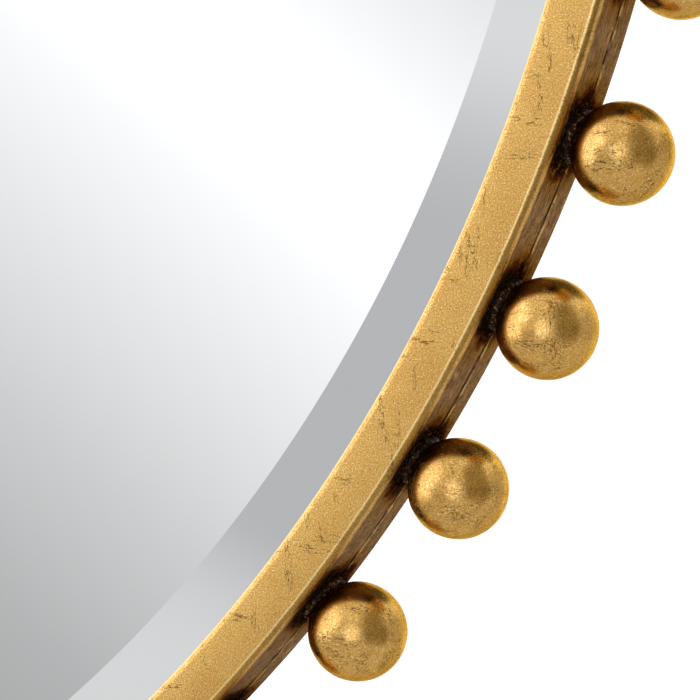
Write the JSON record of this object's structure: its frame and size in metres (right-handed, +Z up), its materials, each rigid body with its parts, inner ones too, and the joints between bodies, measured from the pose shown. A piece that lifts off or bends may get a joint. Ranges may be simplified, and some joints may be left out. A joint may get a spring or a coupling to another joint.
{
  "type": "wall mirror",
  "caption": "Round wall mirror with wide-bevelled glass in a gilded iron ring, hollow gilt balls welded around the outside, and two swinging D-ring hangers on the back.",
  "frame": {"origin": "centre of the whole mirror: the ring's axis, halfway between the fronts of the balls and the wall plane that the rubber bumpers touch", "axes": "+X to the right as seen from the front, +Y from the glass towards the wall, +Z up as the mirror hangs"},
  "size_m": [1.1166, 0.0395, 1.1166],
  "materials": {
    "gilt_iron": "antiqued gold leaf over dark primer on iron, satin",
    "gilt_ball": "antiqued gold leaf on hollow iron balls, satin",
    "dark_weld": "gilded weld bead under dark patina, rough",
    "bare_weld": "weld bead under bronze-brown paint, rough",
    "plate_glass": "clear bevelled plate glass, polished",
    "silvering": "silver coating with paint behind it",
    "black_foam": "black closed-cell foam, matt",
    "fibreboard": "medium-density fibreboard, matt",
    "bronzed_steel": "bronze-brown paint, satin",
    "plated_steel": "zinc plated, satin",
    "zinc_screw": "zinc plated",
    "bumper_rubber": "black rubber, matt"
  },
  "bodies": {
    "mirror": {"front_frame_ring": "gilt_iron", "rear_frame_band": "gilt_iron", "ring_tack_welds": "bare_weld", "ball_row_01": "gilt_ball", "ball_row_02": "gilt_ball", "ball_row_03": "gilt_ball", "ball_row_04": "gilt_ball", "ball_row_05": "gilt_ball", "ball_row_06": "gilt_ball", "ball_row_07": "gilt_ball", "ball_row_08": "gilt_ball", "ball_row_09": "gilt_ball", "ball_row_10": "gilt_ball", "ball_row_11": "gilt_ball", "ball_row_12": "gilt_ball", "ball_welds_01": "dark_weld", "ball_welds_02": "dark_weld", "ball_welds_03": "dark_weld", "ball_welds_04": "dark_weld", "ball_welds_05": "dark_weld", "ball_welds_06": "dark_weld", "ball_welds_07": "dark_weld", "ball_welds_08": "dark_weld", "ball_welds_09": "dark_weld", "ball_welds_10": "dark_weld", "ball_welds_11": "dark_weld", "ball_welds_12": "dark_weld", "glazing_gasket": "black_foam", "mirror_glass": "plate_glass", "silver_layer": "silvering", "foam_sheet": "black_foam", "backing_board": "fibreboard", "retaining_tabs": "bronzed_steel", "tab_welds": "bare_weld", "tab_screws": "zinc_screw", "hanger_plate_left": "bronzed_steel", "hanger_strap_left": "plated_steel", "hanger_plate_right": "bronzed_steel", "hanger_strap_right": "plated_steel", "hanger_plate_welds": "bare_weld", "hanger_rivets": "plated_steel", "wall_bumpers": "bumper_rubber"},
    "d_ring_left": {"d_ring_left": "plated_steel"},
    "d_ring_right": {"d_ring_right": "plated_steel"}
  },
  "joints": [
    {"name": "swing_left", "type": "hinge", "parent": "mirror", "child": "d_ring_left", "pos_m": [-0.30141, 0.01625, 0.38846], "axis": [1, 0, 0], "range_deg": [0, 180]},
    {"name": "swing_right", "type": "hinge", "parent": "mirror", "child": "d_ring_right", "pos_m": [0.30141, 0.01625, 0.38846], "axis": [1, 0, 0], "range_deg": [0, 180]}
  ]
}
